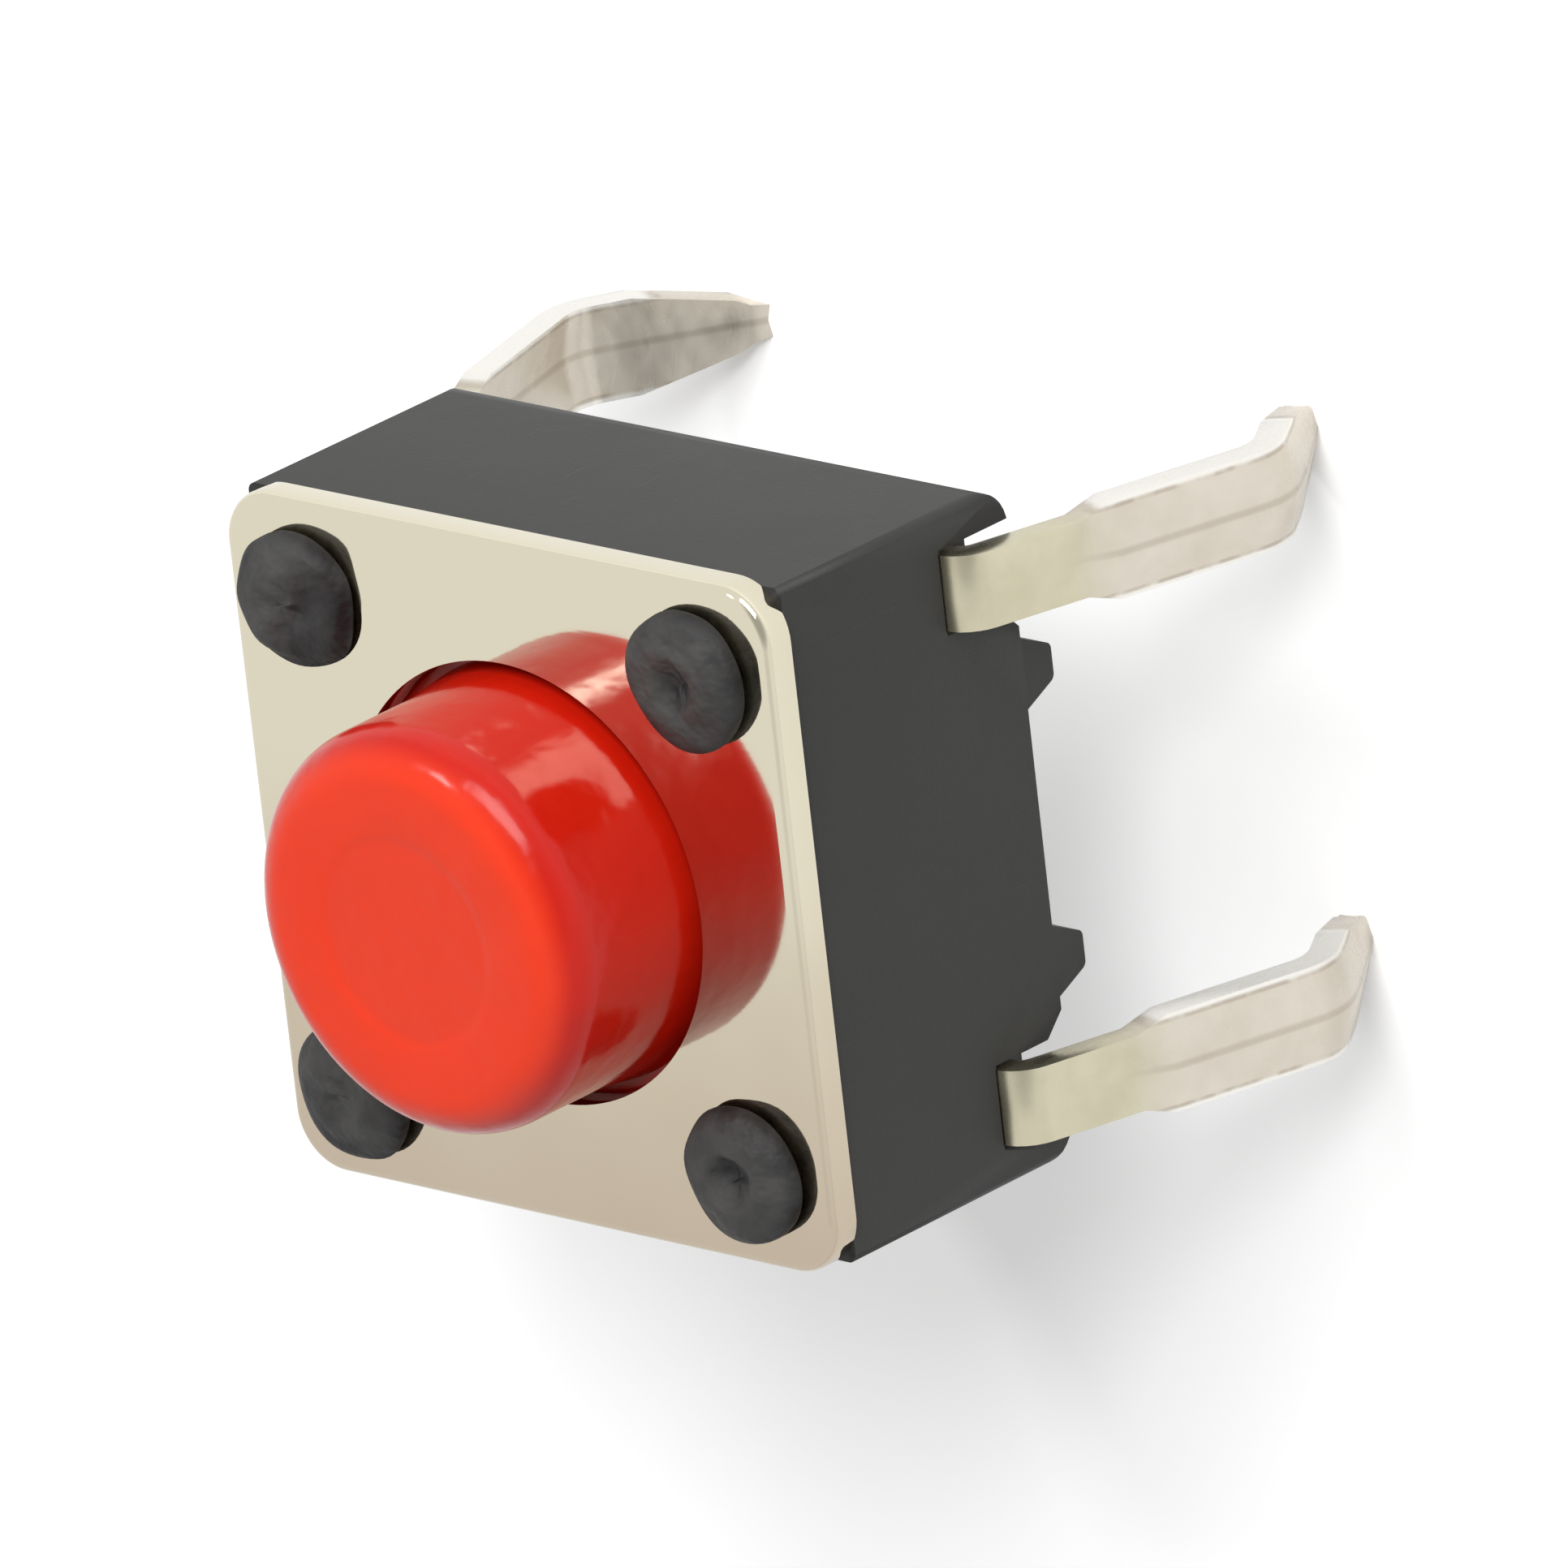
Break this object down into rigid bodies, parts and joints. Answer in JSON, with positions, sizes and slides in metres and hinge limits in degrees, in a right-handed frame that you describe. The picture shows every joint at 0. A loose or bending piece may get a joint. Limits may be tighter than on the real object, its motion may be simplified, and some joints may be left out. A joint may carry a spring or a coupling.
{
  "type": "tactile push button switch",
  "caption": "Momentary tactile switch with a round push button, a square staked housing and through-hole legs.",
  "frame": {"origin": "centre of the seating plane, where the stand-off nubs meet the circuit board, midway between the four legs", "axes": "+Z along the button's axis, away from the board; X across the two rows of legs; Y along the rows"},
  "size_m": [0.008, 0.006, 0.0081],
  "materials": {
    "housing_plastic": "satin black, heat-resistant moulding",
    "cover_plating": "smooth warm silver plating",
    "button_plastic": "glossy red moulding",
    "dome_steel": "rolled spring steel",
    "terminal_tin": "tin plated"
  },
  "bodies": {
    "switch_body": {"base_housing": "housing_plastic", "cover_plate": "cover_plating", "snap_dome": "dome_steel", "contact_terminal": "terminal_tin", "rim_terminal": "terminal_tin"},
    "button": {"button": "button_plastic"}
  },
  "joints": [
    {"name": "button_press", "type": "slide", "parent": "switch_body", "child": "button", "axis": [0, 0, -1], "range_m": [0, 0.00025], "stiffness_N_per_m": 6400, "deforming": ["snap_dome"]}
  ]
}
